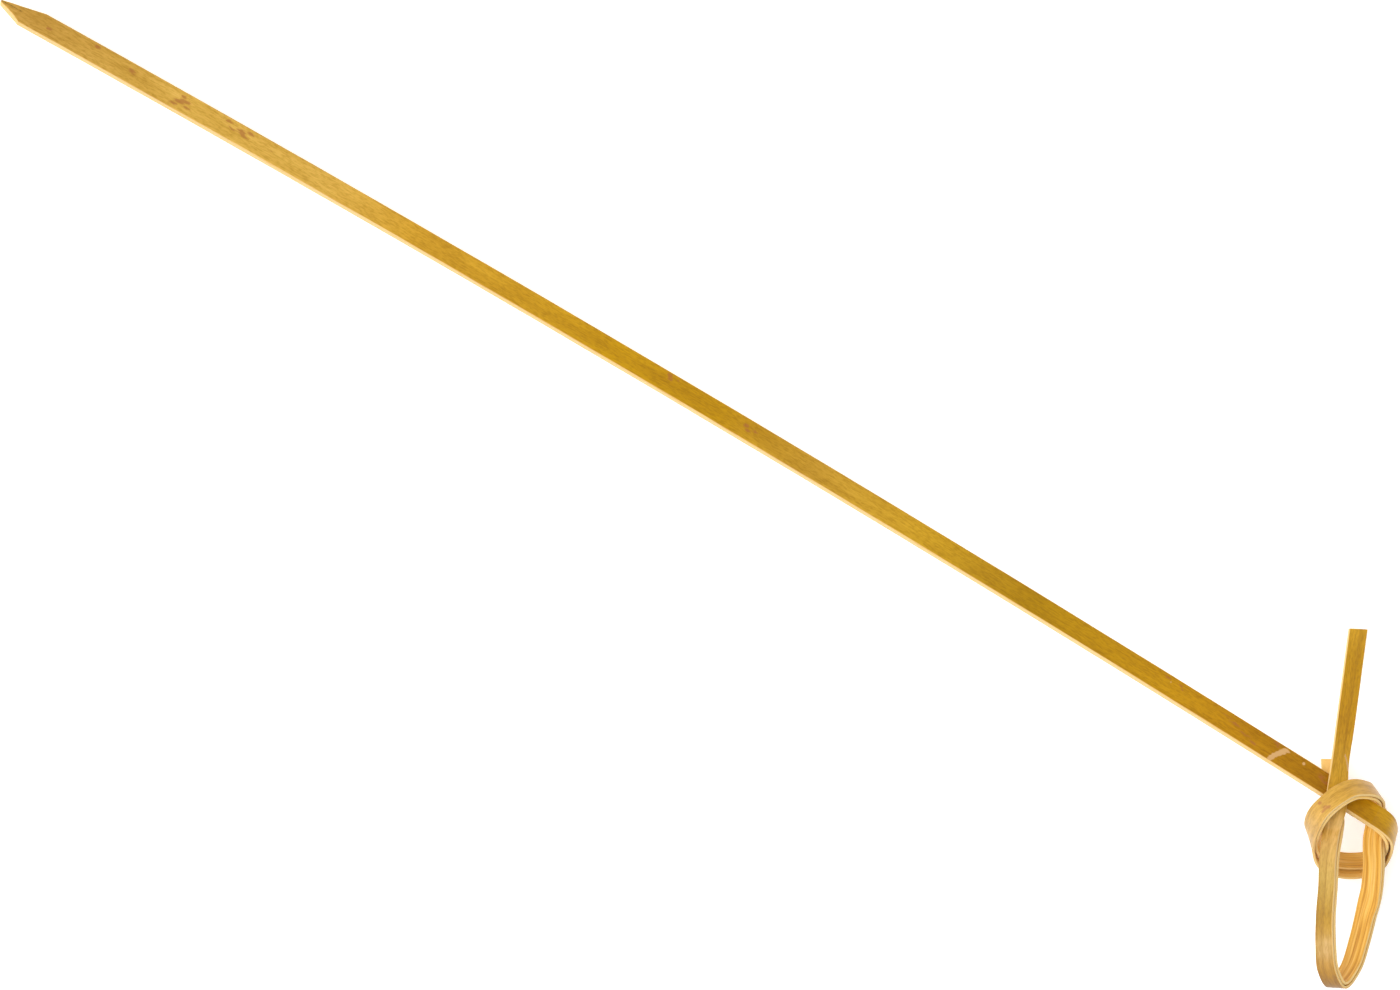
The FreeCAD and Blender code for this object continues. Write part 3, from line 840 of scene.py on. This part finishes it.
for piece, material, slot_name, nodes in (
    (shaft_piece, shaft_material, "bamboo_skin", ["shaft", "shaft_neck"]),
    (skin_piece, skin_material, "bamboo_skin", skin_nodes),
    (inner_piece, inner_material, "bamboo_inner", inner_nodes),
):
    piece.data.materials.append(material)
    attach(piece, "root")
    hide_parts(*nodes)

# ---- Floor, light and camera -------------------------------------------------------------------
scene = bpy.context.scene
scene.view_settings.view_transform = "Standard"

FLOOR_REACH = 1.5        # from the middle to each side, in metres
floor_mesh = bpy.data.meshes.new("floor")
floor_corners = [(x * FLOOR_REACH, y * FLOOR_REACH, 0) for x, y in ((-1, -1), (1, -1), (1, 1), (-1, 1))]
floor_mesh.from_pydata(floor_corners, [], [(0, 1, 2, 3)])
floor = bpy.data.objects.new("floor", floor_mesh)
scene.collection.objects.link(floor)
floor_shader = Shader("floor")
paper = floor_shader.node("ShaderNodeTexNoise")
paper.inputs["Scale"].default_value = 600
paper_tones = [(0.3, (0.90, 0.90, 0.90, 1)), (0.7, (0.93, 0.93, 0.93, 1))]
paper_colour = floor_shader.ramp(paper.outputs["Fac"], paper_tones)
floor_shader.link(paper_colour, floor_shader.bsdf.inputs["Base Color"])
floor_shader.bsdf.inputs["Roughness"].default_value = 0.9
floor_shader.bsdf.inputs["Specular IOR Level"].default_value = 0.1
floor_shader.bsdf.inputs["Emission Color"].default_value = (1.0, 0.99, 0.97, 1.0)
floor_shader.bsdf.inputs["Emission Strength"].default_value = 0.35
floor_mesh.materials.append(floor_shader.material)

row_up = turn_to_row @ UP
row_front = turn_to_row @ FRONT

VIEW_WIDTH = 155.12      # what the view spans at the pick, in millimetres
VIEW_MIDDLE = (-72.3, 36.98, 0)   # in the knot's axes
LENS = 150.0
SENSOR = 36.0
view_centre = to_row(Vector(VIEW_MIDDLE))
distance = VIEW_WIDTH * MM * LENS / SENSOR


def facing(direction, upward):
    """The turn of a camera or lamp that looks along a direction."""
    back = -direction.normalized()
    right = upward.cross(back).normalized()
    return Matrix((right, back.cross(right), back)).transposed()


camera_data = bpy.data.cameras.new("camera")
camera_data.lens = LENS
camera_data.sensor_width = SENSOR
camera_data.clip_start = 0.01
camera = bpy.data.objects.new("camera", camera_data)
scene.collection.objects.link(camera)
camera_place = Matrix.Translation(view_centre + row_front * distance)
camera.matrix_world = camera_place @ facing(-row_front, row_up).to_4x4()
scene.camera = camera


def softbox(name, offset, power):
    """A large square lamp that faces the pick, from an offset in the knot's axes, in metres."""
    data = bpy.data.lights.new(name, "AREA")
    data.size = LAMP_SIZE
    data.energy = power
    lamp = bpy.data.objects.new(name, data)
    scene.collection.objects.link(lamp)
    place = view_centre + turn_to_row @ Vector(offset)
    lamp.matrix_world = Matrix.Translation(place) @ facing(view_centre - place, row_up).to_4x4()


# The surroundings are a soft white glow that is brightest to the left of the pick. Each lamp stands at
# an offset from the view's middle.
GLOW_DIRECTION = (-0.92, -0.12, 0.38)
GLOW_NEAR = 1.7          # strength in that direction
GLOW_FAR = 0.36          # and from square to it to behind
LAMP_SIZE = 0.60
world = bpy.data.worlds.new("studio")
scene.world = world
world.use_nodes = True
sky = world.node_tree
direction = sky.nodes.new("ShaderNodeTexCoord").outputs["Generated"]
towards = sky.nodes.new("ShaderNodeVectorMath")
towards.operation = "DOT_PRODUCT"
towards.inputs[1].default_value = turn_to_row @ Vector(GLOW_DIRECTION).normalized()
sky.links.new(direction, towards.inputs[0])
glow = sky.nodes.new("ShaderNodeMapRange")
glow.interpolation_type = "SMOOTHSTEP"
for socket, number in zip(RANGE_SOCKETS, (0.0, 1.0, GLOW_FAR, GLOW_NEAR)):
    glow.inputs[socket].default_value = number
sky.links.new(towards.outputs["Value"], glow.inputs["Value"])
background = sky.nodes["Background"]
background.inputs["Color"].default_value = WHITE
sky.links.new(glow.outputs["Result"], background.inputs["Strength"])

softbox("key", (-0.30, 0.05, 0.85), 3.2)
softbox("fill", (0.45, -0.30, 0.60), 1.5)
